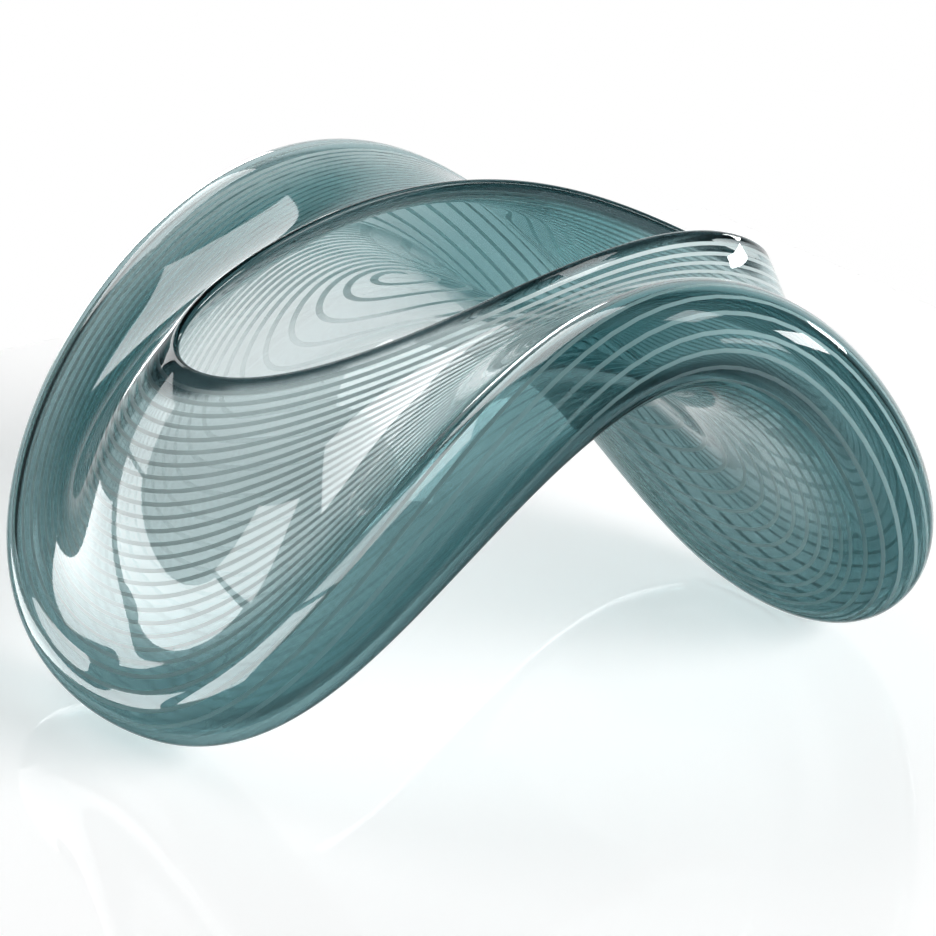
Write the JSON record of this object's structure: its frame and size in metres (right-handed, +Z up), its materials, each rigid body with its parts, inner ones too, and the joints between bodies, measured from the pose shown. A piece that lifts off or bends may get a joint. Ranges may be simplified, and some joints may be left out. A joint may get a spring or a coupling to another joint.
{
  "type": "glass wave sculpture",
  "caption": "Blown glass sculpture: a flattened hollow bubble folded into an arch on two lobes, with a long open mouth on top and a pale spiral thread in its wall.",
  "frame": {"origin": "on the floor under the middle of the whole sculpture", "axes": "+X from the left foot to the right foot along the arch, +Y to the back, +Z up"},
  "size_m": [0.3344, 0.3156, 0.2038],
  "materials": {
    "glass": "fire-polished, clear grey-teal",
    "thread": "smooth, pale and opaque"
  },
  "bodies": {
    "root": {"glass_body": "glass", "thread": "thread"}
  },
  "joints": []
}
